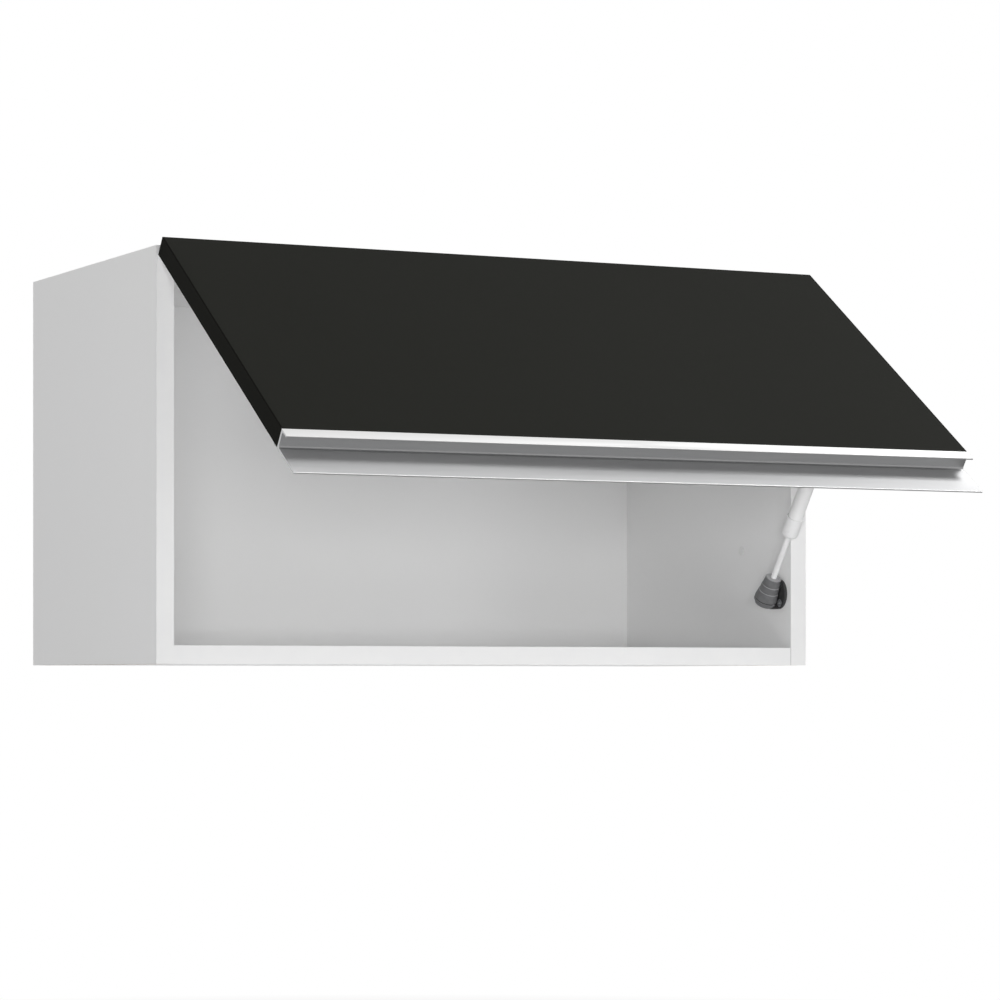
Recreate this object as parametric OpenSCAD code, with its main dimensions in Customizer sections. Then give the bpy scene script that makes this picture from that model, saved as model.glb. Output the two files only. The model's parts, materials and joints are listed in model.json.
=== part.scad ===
// Lift up wall cabinet: a white box on the wall with one flap door that swings up
// on two cup hinges and is held open by a gas strut on the right-hand side.
//
// +X points right, +Y into the wall and +Z up. The origin lies on the wall plane, in
// the middle of the cabinet's width and height.
// The flap is drawn in its open position. Millimetres throughout.

/* [Carcass] */
// Overall width across both sides
cabinet_w = 600; // [500:10:900]
// Overall height of the sides
cabinet_h = 332; // [320:2:450]
// Overall depth, from the front edges to the wall
cabinet_d = 300; // [280:5:400]
// Thickness of the sides, the top and the bottom
board_t = 15; // [15:0.5:18]
// Thickness of the nailed-on back panel
back_t = 3; // [2.5:0.5:4]
// How far the back panel stays inside each outer side face
back_inset = 1; // [0.5:0.5:3]
// Thickness of the edge bands on the boards
band_t = 1; // [0.5:0.1:2]

/* [Corner fittings] */
// Distance of each cam fitting from the front or rear edge
joint_in = 50; // [40:1:70]
// Distance from a cam bolt to the dowel beside it
dowel_step = 32; // [25:1:40]
// Diameter of the wooden dowels
dowel_d = 8; // [6:1:8]
// Length of the wooden dowels
dowel_len = 30; // [25:1:35]
// Diameter of the cam housings
cam_d = 15; // [12:0.5:15]
// Distance from the end of a panel to the centre of its cam
cam_reach = 24; // [20:1:34]
// Diameter of the cam bolts
cam_bolt_d = 6; // [5:0.5:7]
// Distance between the nails of the back panel, at most
nail_pitch = 140; // [60:10:200]
// Distance of the plugged bore in each side behind the front edge
plug_in = 83.7; // [78:0.1:120]
// Height of that bore above the underside
plug_up = 101.5; // [90:0.5:130]

/* [Door] */
// Thickness of the flap door
door_t = 16; // [16:0.5:19]
// Gap between the closed door and the front edges of the carcass
door_gap = 3.5; // [3:0.1:5]
// Distance from each end of the door to the outer face of the side
side_reveal = 1.5; // [1:0.5:3]
// Distance from the top of the closed door to the top of the carcass
top_reveal = 0; // [0:0.5:2]
// Distance from the bottom of the closed door's profile to the underside of the carcass
bottom_reveal = 1.5; // [0:0.5:4]
// How far the flap swings up from closed to fully open
open_angle = 55.4; // [40:0.2:75]

/* [Handle profile] */
// Wall thickness of the aluminium edge profile
handle_wall = 1.4; // [1:0.1:2]
// Thickness of the profile's web under the door
handle_web = 2.5; // [1.8:0.1:3]
// Height of the short lip along the front of the profile
lip_h = 10.5; // [9:0.5:18]
// Height of the long flange along the back of the profile
flange_h = 37; // [30:0.5:50]
// Thickness of the barbed rib that holds the profile in the door
rib_t = 1.6; // [1.2:0.1:2]
// Depth of the barbed rib in the door
rib_h = 9; // [6:0.5:12]
// Number of barbs on each face of the rib
barbs = 4; // [2:1:6]
// Distance from each end of the profile to the cut-back end of the rib
rib_in = 5; // [3:0.5:12]

/* [Hinges] */
// Distance of each hinge from the outer face of the side
hinge_in = 100; // [80:5:150]
// Depth of the hinge axis behind the inner face of the door
pivot_depth = 5.8; // [5.4:0.1:6.4]
// Distance of the hinge axis below the top edge of the door
pivot_drop = 6.8; // [6.6:0.1:7.4]
// Diameter of the hinge pins
pin_d = 2.6; // [2.2:0.1:2.8]
// Diameter of the bored cups
cup_d = 35; // [34:0.5:36]
// Distance from the top edge of the door to the bored cup
cup_edge = 3; // [2.6:0.1:3.2]
// Depth of the bored cups
cup_depth = 12; // [11.5:0.1:13]
// Distance from the front edge of the top panel to the plate screws
plate_in = 37; // [36:1:45]
// Distance between the two screws of a mounting plate
plate_screw_step = 32; // [30:1:40]

/* [Gas strut] */
// Distance from the right-hand side to the centre line of the strut
strut_off = 9; // [9:0.5:14]
// Distance of the lower ball behind the front edges
ball_in = 24; // [22:0.5:36]
// Height of the lower ball above the underside
ball_up = 62; // [56:1:80]
// Distance of the upper ball below the top edge of the closed door
bracket_down = 132.4; // [128:0.2:136]
// Distance of the upper ball from the inner face of the door
bracket_out = 50; // [46:0.5:54]
// Diameter of the balls
ball_d = 8; // [7:0.5:8]
// Diameter of the piston rod
rod_d = 5; // [4:0.5:6]
// Outer diameter of the pressure tube
tube_d = 13; // [12:0.1:13.4]
// Wall thickness of the pressure tube
tube_wall = 0.9; // [0.7:0.1:1.2]
// Greatest diameter of the sleeve on the lower end of the tube
sleeve_d = 15.4; // [15:0.1:16]
// Diameter of that sleeve at its upper end
sleeve_top_d = 14.7; // [14.4:0.1:14.9]
// Length of that sleeve below the visible tube
sleeve_len = 20; // [16:0.5:24]
// Rod that still shows when the door is closed
rod_spare = 2.4; // [2:0.1:6]

/* [Wall hangers] */
// Width of the hanger body, across the cabinet
hanger_t = 17; // [15:0.5:20]
// Height of the hanger body
hanger_h = 58; // [54:1:70]
// Depth of the hanger body
hanger_depth = 52; // [46:1:60]
// Distance from the wall plane to the hanger body
hanger_rear = 8; // [7:0.5:12]
// Height of the hanger's lower adjusting screw above its foot
hanger_screw_low = 14; // [12:0.5:17]
// Height of its upper adjusting screw above its foot
hanger_screw_high = 29; // [27:0.5:33]
// Distance from the top of the hanger down to its hook
hook_down = 18; // [16:0.5:20]
// Width of the window in the back panel beside each side
window_w = 45; // [40:1:60]
// Height of that window
window_h = 42; // [38:1:50]

/* [Hidden] */

$fn = 48;

// Clearances
cut = 1;             // how far a cutting shape runs past a face
snug = 0.1;          // on the diameter of a fixed piece in its hole
running = 0.05;      // radial, between a turning or sliding shaft and its bore
apart = 0.3;         // between faces that move past each other
hole_end = 0.5;      // free depth at the blind end of a hole

// Cross recess of a screw, as shares of its head
recess_long = 0.6;
recess_wide = 0.13;
recess_deep = 0.7;

// Colours
board_white = [0.93, 0.93, 0.93];
edge_white = [0.97, 0.97, 0.97];
door_black = [0.16, 0.16, 0.14];
edge_black = [0.08, 0.08, 0.07];
aluminium = [0.84, 0.85, 0.86];
steel = [0.72, 0.73, 0.75];
zinc = [0.62, 0.63, 0.65];
beech = [0.80, 0.66, 0.46];
dark_plastic = [0.25, 0.25, 0.26];
white_plastic = [0.96, 0.96, 0.95];
rubber_black = [0.10, 0.10, 0.10];
clear_pad = [0.86, 0.88, 0.88];

// Carcass
top_z = cabinet_h / 2;
base_z = -cabinet_h / 2;
inner_x = cabinet_w / 2 - board_t;
front_y = -cabinet_d;
board_front_y = front_y + band_t;
inner_back_y = -back_t;
inner_top = top_z - board_t;
board_depth = inner_back_y - board_front_y;
joint_ys = [front_y + joint_in, inner_back_y - joint_in];
dowel_ys = [joint_ys[0] + dowel_step, joint_ys[1] - dowel_step];
dowel_in_side = 11.5;
cam_over = 5;                        // cam beyond the bolt's centre line
cam_h = board_t / 2 + cam_over;
cam_sunk = 0.3;
bolt_hole_d = cam_bolt_d + 2;
bolt_in_side = 11;
bolt_thread_d = cam_bolt_d - 1;
bolt_head_len = 3;
bolt_neck_len = 3;
bolt_neck_in = 2.5;                  // how much thinner the bolt's neck is
cam_slot_over = 1;                   // how much wider the cam's slot is than the bolt
recess_w = 2.2;
recess_len = 8;
recess_depth = 2.5;

// Nails of the back panel
nail_d = 1.6;
nail_len = 18;
nail_head_d = 4;
nail_head_t = 0.8;
nail_end = 30;

// Plugged pilot holes in the sides
plug_y = front_y + plug_in;
plug_z = base_z + plug_up;
plug_hole_d = 5;
plug_hole_depth = 11;
plug_head_d = 8;
plug_head_t = 0.8;
plug_short = 2;                      // how much shorter the plug is than its bore

// Door, in its closed position
door_front_y = front_y - door_gap - door_t;
door_back_y = front_y - door_gap;
door_top = top_z - top_reveal;
door_bottom = base_z + bottom_reveal + flange_h;
door_x = cabinet_w / 2 - side_reveal;
bumper_d = 9;
bumper_t = door_gap - apart;

// Handle profile
fillet_r = 2.2;
leg_edge = 0.3;                      // bevel along the free edges of lip and flange
barb_out = 0.4;
barb_first = 1;                      // from the web to the first barb
barb_last = 1;                       // from the last barb to the rib's tip
barb_share = 0.9;                    // part of the pitch that a barb slopes over
groove_play = 0.1;
groove_w = rib_t + 2 * barb_out + 2 * groove_play;
groove_h = rib_h + hole_end;

// Hinges
pivot_y = door_back_y - pivot_depth;
pivot_z = door_top - pivot_drop;
hinge_x = cabinet_w / 2 - hinge_in;
cup_wall = 0.6;
cup_z = door_top - cup_edge - cup_d / 2;
cup_r = cup_d / 2 - snug / 2;
cup_in_r = cup_r - cup_wall;
cup_flange_t = 1;
cup_flange_w = 60;
cup_flange_h = 18;
cup_ring_over = 2;
cup_screw_step = 45;
cup_screw_drop = 9.5;
cheek_drop = 4;
pin_half = sqrt(pow(cup_r, 2) - pow(pivot_z - cup_z + pin_d / 2, 2)) - apart;
eye_r = 2.5;
eye_w = 6;
nose_t = 3;
nose_bend = 4;
plate_base_t = 2;
plate_base_depth = 24;
plate_wing = 8;
plate_boss_w = 13;
plate_boss_t = 8;
plate_boss_front = 14;               // from the front edges to the boss
plate_boss_len = 44;
arm_wall = 1.5;
arm_front = 7;                       // from the front edges to the arm's channel
arm_rear_over = 3;
arm_short = 1;                       // the channel's sides end this far before the plate
arm_solid = 5;                       // solid front of the channel, where the nose joins it
nose_steps = 8;
nose_dip = 2.5;                      // steepness of the nose behind the eye
plate_screw_d = 3.5;
plate_screw_len = 11;
plate_head_d = 7;
plate_head_t = 1.8;
cup_head_t = 1.6;
arm_screw_d = 5;
arm_screw_head_d = 7.5;
arm_screw_head_t = 1.6;
arm_screw_in = 9;                    // from the ends of the boss

plate_y = front_y + plate_in;
boss_front_y = front_y + plate_boss_front;
boss_rear_y = boss_front_y + plate_boss_len;
boss_z = inner_top - plate_base_t - plate_boss_t;
arm_top_z = boss_z;
arm_z = arm_top_z - arm_wall;
nose_ends = [[pivot_y, pivot_z],
             [pivot_y + nose_bend, pivot_z - nose_dip * nose_bend],
             [front_y, arm_z + nose_bend + apart],
             [front_y + arm_front + nose_t, arm_z + nose_t / 2 + apart]];

// Gas strut: lower ball, upper ball with the door closed and with the door open
strut_x = inner_x - strut_off;
low = [front_y + ball_in, base_z + ball_up];
up_closed = [door_back_y + bracket_out, door_top - bracket_down];
arm_y = up_closed[0] - pivot_y;
arm_dz = up_closed[1] - pivot_z;
up_open = [pivot_y + arm_y * cos(open_angle) + arm_dz * sin(open_angle),
           pivot_z - arm_y * sin(open_angle) + arm_dz * cos(open_angle)];
len_open = norm(up_open - low);
len_closed = norm(up_closed - low);
strut_lean = atan2(low[0] - up_open[0], up_open[1] - low[1]);

base_t = 2.4;
socket_r = 10.2;
socket_side_gap = 0.6;
upper_socket_r = strut_off - socket_side_gap;
socket_low = 10.5;                   // socket beyond the ball
socket_top = 17.5;                   // socket from the ball to the rod
socket_neck = 0.68;                  // radius at the top, as a share of the greatest radius
socket_tiers = [0, 0.34, 0.64, 1];   // where the cone steps in, as shares of its height
socket_ledge = 0.5;                  // width of those steps
socket_rim_low = -6.8;               // rim that holds the clip, from the ball
socket_rim_top = -3;
socket_foot_in = 1;                  // the foot below the rim is narrower
socket_round = 1.5;                  // rounding under the foot
socket_face = strut_off - base_t - socket_side_gap;   // flat that faces the plate or the bracket
ball_r = ball_d / 2;
cavity_r = ball_r + apart;
stud_r = 2.6;
base_len = 36;
base_h = 26;
base_screw_step = 18;                // between the screws, along the side and up it
base_screw_rise = 16;
base_screw_d = 3.5;
base_screw_len = 14;
base_head_d = 7;
base_head_t = 1.8;
clip_r = 0.6;
claw_t = 2.2;
slot_w = 1.8;
slot_end = 2;                        // from the slots to the ball's centre
clip_z = -4.9;                       // height of the clip on the rim
clip_from = 75;                      // the clip's open side, towards the plate
clip_turn = 210;
snap = 0.3;                          // how much narrower the mouth is than the ball

rod_show = len_open - len_closed + rod_spare;
sleeve_start = socket_top + rod_show;
sleeve_round = 4.6;
sleeve_edge = 0.4;                   // bevel round the sleeve's upper end
sleeve_floor = 2;
tube_start = sleeve_start + sleeve_floor;
tube_r = tube_d / 2;
tube_in_r = tube_r - tube_wall;
upper_socket_len = 16;
tube_end = len_open - upper_socket_len;
guide_start = tube_start + 0.5;
guide_len = 9;
seal_len = 3;
piston_len = 7;
ring_w = 2;
ring_deep = 1.1;                     // depth of the piston's ring groove
seal_lip = 1.2;                      // hollow behind the seal's lip
seal_lip_w = 1;
piston_start = guide_start + guide_len + seal_len + 1;
rod_start = 6.5;
end_plug_len = 6;
thread_r = 2.5;
thread_len = 6;
end_flange_t = 0.8;

// Door bracket of the strut
bracket_t = 2;
bracket_foot_w = 22;
bracket_foot_h = 44;
ear_r = 7;
rivet_over = 1.4;                    // riveted head beyond the stud
rivet_t = 1.2;
ear_x = strut_x - strut_off;         // face of the ear that the ball stands on
bracket_screw_step = 30;
bracket_screw_len = 13;

// Hangers
hanger_top_gap = 1;
hanger_z = inner_top - hanger_top_gap - hanger_h;
hanger_back_y = -hanger_rear;
hanger_round = 6;
hanger_foot = 7;
hanger_peg_d = 8;
hanger_peg_len = 10;
hanger_peg_step = 32;
hook_t = 3;
hook_x = inner_x - hanger_t / 2;
hook_bar_h = 9;
hook_tip_t = 2.5;
hook_tip_in = 1.5;                   // from the wall plane to the hook's tip
hook_drop = 9;
hook_reach = 34;
hook_z = hanger_z + hanger_h - hook_down;
hanger_screw_d = 5;
hanger_head_d = 8.5;
hanger_head_t = 2.4;
hanger_head_play = 1;                // on the diameter of the sunk head
hanger_screw_len = 36;
hanger_screw_zs = [hanger_z + hanger_screw_low, hanger_z + hanger_screw_high];
window_down = 4;                     // from the top panel to the window
window_z = inner_top - window_down - window_h;

// ---------------------------------------------------------------- helpers

module both_sides() {
    children();
    mirror([1, 0, 0]) children();
}

// Turns a piece of the closed door up to the open position
module swung_open() {
    translate([0, pivot_y, pivot_z]) rotate([-open_angle, 0, 0])
        translate([0, -pivot_y, -pivot_z]) children();
}

// Puts a piece drawn along +Z, with the lower ball at zero, onto the strut's line
module on_strut() {
    translate([strut_x, low[0], low[1]]) rotate([strut_lean, 0, 0]) children();
}

// Extrudes a side view, drawn as [y, z], across the width from x0 to x1
module across(x0, x1) {
    translate([x0, 0, 0]) rotate([90, 0, 90]) linear_extrude(x1 - x0) children();
}

function unit(v) = v / norm(v);

// Square to the path at point i, as long as a mitred strip of that half thickness needs
function miter(points, i, half) =
    let (last = len(points) - 1,
         before = unit(points[max(i, 1)] - points[max(i, 1) - 1]),
         after = unit(points[min(i, last - 1) + 1] - points[min(i, last - 1)]),
         along = unit(before + after))
    [-along[1], along[0]] * half / (along * after);

// Outline of a strip that follows points
module strip(points, thick) {
    last = len(points) - 1;
    polygon(concat([for (i = [0 : last]) points[i] + miter(points, i, thick / 2)],
                   [for (i = [last : -1 : 0]) points[i] - miter(points, i, thick / 2)]));
}

// Cubic curve from the first to the last of four points
function curve(p, steps) =
    [for (i = [0 : steps]) let (t = i / steps, u = 1 - t)
        pow(u, 3) * p[0] + 3 * u * u * t * p[1] + 3 * u * t * t * p[2] + pow(t, 3) * p[3]];

// Cross recess for a screwdriver, sunk into the plane z = 0 from above
module cross_recess(size, wide, deep) {
    for (turn = [0, 90]) rotate([0, 0, turn])
        translate([-size / 2, -wide / 2, -deep]) cube([size, wide, deep + cut]);
}

// Wood screw along -Z with a raised countersunk head on the plane z = 0
module wood_screw(d, length, head_d, head_t) {
    difference() {
        union() {
            translate([0, 0, -length]) cylinder(d = d, h = length);
            cylinder(d = head_d, h = head_t);
        }
        translate([0, 0, head_t])
            cross_recess(head_d * recess_long, head_d * recess_wide, head_t * recess_deep);
    }
}

// Wood screw along -Z with a flat head sunk below the plane z = 0
module flat_screw(d, length, head_d, head_t) {
    difference() {
        union() {
            translate([0, 0, -length]) cylinder(d = d, h = length);
            translate([0, 0, -head_t]) cylinder(d1 = d, d2 = head_d, h = head_t);
        }
        cross_recess(head_d * recess_long, head_d * recess_wide, head_t * recess_deep);
    }
}

// Hole for such a screw
module screw_hole(d, length) {
    translate([0, 0, -length - hole_end]) cylinder(d = d + snug, h = length + hole_end + cut);
}

// ---------------------------------------------------------------- carcass

// Places children at the four corner joints of the right-hand side: x outwards,
// z = 0 in the middle of the panel, -z towards the outer face of the panel
module at_right_corners(ys) {
    for (y = ys) for (top = [0, 1])
        mirror([0, 0, top]) translate([inner_x, y, base_z + board_t / 2]) children();
}

module x_pin(x0, x1, d) {
    translate([x0, 0, 0]) rotate([0, 90, 0]) cylinder(d = d, h = x1 - x0);
}

module corner_holes() {
    at_right_corners(dowel_ys)
        x_pin(dowel_in_side - dowel_len - hole_end, dowel_in_side + hole_end, dowel_d);
    at_right_corners(joint_ys) {
        x_pin(-cut, bolt_in_side + hole_end, bolt_thread_d);
        x_pin(-cam_reach, 0, bolt_hole_d);
        translate([-cam_reach, 0, -board_t / 2 - cut]) cylinder(d = cam_d, h = cam_h + cut);
    }
}

module nail_holes() {
    nails(snug, hole_end);
}

module side_board(strut_side) {
    difference() {
        translate([inner_x, board_front_y, base_z]) cube([board_t, board_depth, cabinet_h]);
        corner_holes();
        nail_holes();
        translate([0, plug_y, plug_z]) x_pin(inner_x - cut, inner_x + plug_hole_depth, plug_hole_d);
        hanger_pegs(snug, hole_end);
        if (strut_side) at_base_screws() screw_hole(base_screw_d, base_screw_len - base_t);
    }
}

module left_side() {
    color(board_white) mirror([1, 0, 0]) side_board(false);
}

module right_side() {
    color(board_white) side_board(true);
}

module flat_board(z) {
    translate([-inner_x, board_front_y, z]) cube([2 * inner_x, board_depth, board_t]);
}

module top_panel() {
    color(board_white) difference() {
        flat_board(inner_top);
        both_sides() corner_holes();
        nail_holes();
        for (side = [-1, 1]) at_plate_screws(side) screw_hole(plate_screw_d, plate_screw_len);
    }
}

module bottom_panel() {
    color(board_white) difference() {
        flat_board(base_z);
        both_sides() corner_holes();
        nail_holes();
    }
}

module back_panel() {
    color(board_white) difference() {
        translate([-cabinet_w / 2 + back_inset, inner_back_y, base_z])
            cube([cabinet_w - 2 * back_inset, back_t, cabinet_h]);
        nail_holes();
        both_sides() translate([inner_x - window_w, inner_back_y - cut, window_z])
            cube([window_w, back_t + 2 * cut, window_h]);
    }
}

module side_band() {
    translate([inner_x, front_y, base_z]) cube([board_t, band_t, cabinet_h]);
}

module left_side_band() {
    color(edge_white) mirror([1, 0, 0]) side_band();
}

module right_side_band() {
    color(edge_white) side_band();
}

module top_panel_band() {
    color(edge_white) translate([-inner_x, front_y, inner_top]) cube([2 * inner_x, band_t, board_t]);
}

module bottom_panel_band() {
    color(edge_white) translate([-inner_x, front_y, base_z]) cube([2 * inner_x, band_t, board_t]);
}

module dowels() {
    color(beech) both_sides() at_right_corners(dowel_ys)
        x_pin(dowel_in_side - dowel_len, dowel_in_side, dowel_d - snug);
}

module cam_bolt() {
    head_x = -cam_reach - bolt_head_len / 2;
    x_pin(0, bolt_in_side, bolt_thread_d - snug);
    x_pin(-cam_reach + bolt_head_len / 2 + bolt_neck_len, 0, cam_bolt_d);
    x_pin(-cam_reach, 0, cam_bolt_d - bolt_neck_in);
    x_pin(head_x, head_x + bolt_head_len, cam_bolt_d);
}

module cam_bolts() {
    color(steel) both_sides() at_right_corners(joint_ys) cam_bolt();
}

module cam_housing() {
    translate([-cam_reach, 0, -board_t / 2 + cam_sunk]) difference() {
        cylinder(d = cam_d - snug, h = cam_h - cam_sunk - hole_end / 2);
        translate([0, 0, board_t / 2 - cam_sunk])
            x_pin(-bolt_head_len / 2 - cut, cam_d, cam_bolt_d + cam_slot_over);
        mirror([0, 0, 1]) cross_recess(recess_len, recess_w, recess_depth);
    }
}

module cam_housings() {
    color(zinc) both_sides() at_right_corners(joint_ys) cam_housing();
}

// Evenly spaced places from one end to the other, no further apart than the pitch
function spread(from, to, pitch) =
    let (count = max(1, ceil((to - from) / pitch)))
    [for (i = [0 : count]) from + (to - from) * i / count];

module nail(grow, extra) {
    rotate([90, 0, 0]) {
        translate([0, 0, -cut]) cylinder(d = nail_head_d + grow, h = nail_head_t + cut);
        cylinder(d = nail_d + grow, h = nail_len + extra);
    }
}

module nails(grow, extra) {
    board_mid = cabinet_w / 2 - board_t / 2;
    intersection() {
        union() {
            for (z = spread(base_z + nail_end, top_z - nail_end, nail_pitch))
                both_sides() translate([board_mid, 0, z]) nail(grow, extra);
            for (x = spread(-inner_x + nail_end, inner_x - nail_end, nail_pitch))
                for (z = [base_z + board_t / 2, top_z - board_t / 2])
                    translate([x, 0, z]) nail(grow, extra);
        }
        translate([-cabinet_w, -cabinet_d, base_z]) cube([2 * cabinet_w, cabinet_d + grow, cabinet_h]);
    }
}

module back_nails() {
    color(steel) nails(0, 0);
}

module hole_plugs() {
    color(white_plastic) both_sides() translate([0, plug_y, plug_z]) {
        x_pin(inner_x, inner_x + plug_hole_depth - plug_short, plug_hole_d - snug);
        x_pin(inner_x - plug_head_t, inner_x, plug_head_d);
    }
}

// ---------------------------------------------------------------- wall hangers

module hanger_pegs(grow, extra) {
    for (z = [-hanger_peg_step / 2, hanger_peg_step / 2])
        translate([0, hanger_back_y - hanger_depth / 2, hanger_z + hanger_h / 2 + z])
            x_pin(inner_x - cut, inner_x + hanger_peg_len + extra, hanger_peg_d + grow);
}

// Side view of the steel hook, whose tip drops behind the rail on the wall
module hook_outline(grow) {
    translate([-hook_tip_in - hook_reach - grow, hook_z - grow])
        square([hook_reach, hook_bar_h + 2 * grow]);
    if (grow == 0) translate([-hook_tip_in - hook_tip_t, hook_z - hook_drop])
        square([hook_tip_t, hook_drop + hook_bar_h]);
}

module at_hanger_screws() {
    for (z = hanger_screw_zs)
        translate([hook_x, hanger_back_y - hanger_depth, z]) rotate([90, 0, 0]) children();
}

// Side view of the hanger body: round top front corner, sloping foot
module hanger_outline() {
    front = hanger_back_y - hanger_depth;
    top = hanger_z + hanger_h;
    difference() {
        translate([front, hanger_z]) square([hanger_depth, hanger_h]);
        translate([front, top]) mirror([0, 1]) fillet(hanger_round);
        polygon([[front - cut, hanger_z - cut], [front - cut, hanger_z + hanger_foot],
                 [front, hanger_z + hanger_foot], [hanger_back_y - hanger_round, hanger_z],
                 [hanger_back_y - hanger_round, hanger_z - cut]]);
    }
}

module hanger_body() {
    body_x = inner_x - hanger_t;
    union() {
        difference() {
            across(body_x, inner_x) hanger_outline();
            across(hook_x - hook_t / 2 - apart, hook_x + hook_t / 2 + apart) hook_outline(apart);
            at_hanger_screws() {
                screw_hole(hanger_screw_d, hanger_screw_len);
                translate([0, 0, -hanger_head_t])
                    cylinder(d = hanger_head_d + hanger_head_play, h = hanger_head_t + cut);
            }
        }
        hanger_pegs(0, 0);
    }
}

module right_hanger_body() {
    color(white_plastic) hanger_body();
}

module left_hanger_body() {
    color(white_plastic) mirror([1, 0, 0]) hanger_body();
}

module hanger_hook() {
    across(hook_x - hook_t / 2, hook_x + hook_t / 2) hook_outline(0);
}

module right_hanger_hook() {
    color(steel) hanger_hook();
}

module left_hanger_hook() {
    color(steel) mirror([1, 0, 0]) hanger_hook();
}

module hanger_screws() {
    color(steel) both_sides() at_hanger_screws() translate([0, 0, -hanger_head_t])
        wood_screw(hanger_screw_d, hanger_screw_len - hanger_head_t, hanger_head_d, hanger_head_t);
}

// ---------------------------------------------------------------- hinges

module at_plate_screws(side) {
    for (x = [-plate_screw_step / 2, plate_screw_step / 2])
        translate([side * hinge_x + x, plate_y, inner_top]) mirror([0, 0, 1]) children();
}

module hinge_plate(side) {
    wing_w = plate_screw_step + 2 * plate_wing;
    difference() {
        union() {
            translate([side * hinge_x, plate_y, inner_top - plate_base_t / 2])
                cube([wing_w, plate_base_depth, plate_base_t], center = true);
            translate([side * hinge_x - plate_boss_w / 2, boss_front_y, boss_z])
                cube([plate_boss_w, plate_boss_len, plate_boss_t + plate_base_t]);
        }
        at_plate_screws(side) translate([0, 0, -cut])
            cylinder(d = plate_screw_d + snug, h = plate_base_t + 2 * cut);
        at_arm_screws(side) screw_hole(arm_screw_d, plate_boss_t - cut);
    }
}

module left_hinge_plate() {
    color(steel) hinge_plate(-1);
}

module right_hinge_plate() {
    color(steel) hinge_plate(1);
}

module hinge_plate_screws() {
    color(steel) for (side = [-1, 1]) at_plate_screws(side) translate([0, 0, plate_base_t])
        wood_screw(plate_screw_d, plate_screw_len + plate_base_t, plate_head_d, plate_head_t);
}

// The two screws that hold the arm on its plate, pointing up from below
module at_arm_screws(side) {
    for (y = [boss_front_y + arm_screw_in, boss_rear_y - arm_screw_in])
        translate([side * hinge_x, y, boss_z]) mirror([0, 0, 1]) children();
}

// Channel over the plate and the bent nose whose eye turns on the hinge pin
module hinge_arm(side) {
    channel_w = plate_boss_w + 2 * apart + 2 * arm_wall;
    channel_y = front_y + arm_front;
    channel_len = boss_rear_y + arm_rear_over - channel_y;
    channel_h = arm_wall + plate_boss_t - arm_short;
    translate([side * hinge_x, 0, 0]) difference() {
        union() {
            translate([-channel_w / 2, channel_y, arm_z]) cube([channel_w, channel_len, channel_h]);
            across(-eye_w / 2, eye_w / 2) {
                strip(curve(nose_ends, nose_steps), nose_t);
                translate([pivot_y, pivot_z]) circle(r = eye_r);
            }
        }
        translate([-plate_boss_w / 2 - apart, channel_y + arm_solid, arm_top_z])
            cube([plate_boss_w + 2 * apart, channel_len, channel_h]);
        translate([-eye_w, pivot_y, pivot_z]) rotate([0, 90, 0])
            cylinder(r = pin_d / 2 + running, h = 2 * eye_w);
        for (y = [boss_front_y + arm_screw_in, boss_rear_y - arm_screw_in])
            translate([0, y, arm_z - cut]) cylinder(d = arm_screw_d + snug, h = arm_wall + 2 * cut);
    }
}

module left_hinge_arm() {
    color(steel) hinge_arm(-1);
}

module right_hinge_arm() {
    color(steel) hinge_arm(1);
}

module hinge_arm_screws() {
    color(steel) for (side = [-1, 1]) at_arm_screws(side) translate([0, 0, arm_wall])
        wood_screw(arm_screw_d, plate_boss_t - cut, arm_screw_head_d, arm_screw_head_t);
}

// Cup pressed into the door, drawn with the door closed
module hinge_cup(side) {
    well_depth = cup_depth - hole_end - cup_wall;
    pin_z = pivot_z - cup_z;
    cheek_x = eye_w / 2 + apart;
    translate([side * hinge_x, door_back_y, cup_z]) difference() {
        union() {
            difference() {
                union() {
                    rotate([90, 0, 0]) cylinder(r = cup_r, h = well_depth + cup_wall, $fn = 96);
                    rotate([-90, 0, 0]) cylinder(r = cup_r + cup_ring_over, h = cup_flange_t, $fn = 96);
                    translate([-cup_flange_w / 2, 0, -cup_screw_drop - cup_flange_h / 2])
                        cube([cup_flange_w, cup_flange_t, cup_flange_h]);
                }
                translate([0, cut + cup_flange_t, 0]) rotate([90, 0, 0])
                    cylinder(r = cup_in_r, h = well_depth + cut + cup_flange_t, $fn = 96);
            }
            // cheeks on both sides of the arm that hold the pin
            intersection() {
                rotate([90, 0, 0])
                    cylinder(r = cup_r - cup_wall / 2, h = well_depth + cup_wall / 2, $fn = 96);
                for (s = [0, 1]) mirror([s, 0, 0])
                    translate([cheek_x, -cup_depth, pin_z - cheek_drop])
                        cube([pin_half - cheek_x, cup_depth, cup_d]);
            }
        }
        translate([-pin_half - cut, pivot_y - door_back_y, pin_z]) rotate([0, 90, 0])
            cylinder(d = pin_d + snug, h = 2 * (pin_half + cut));
        for (x = [-cup_screw_step / 2, cup_screw_step / 2]) translate([x, -cut, -cup_screw_drop])
            rotate([-90, 0, 0]) cylinder(d = plate_screw_d + snug, h = cup_flange_t + 2 * cut);
    }
}

module left_hinge_cup() {
    color(steel) swung_open() hinge_cup(-1);
}

module right_hinge_cup() {
    color(steel) swung_open() hinge_cup(1);
}

module hinge_pins() {
    color(steel) for (side = [-1, 1]) translate([side * hinge_x - pin_half, pivot_y, pivot_z])
        rotate([0, 90, 0]) cylinder(d = pin_d, h = 2 * pin_half);
}

module at_cup_screws() {
    for (side = [-1, 1]) for (x = [-cup_screw_step / 2, cup_screw_step / 2])
        translate([side * hinge_x + x, door_back_y, cup_z - cup_screw_drop]) rotate([-90, 0, 0]) children();
}

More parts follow.
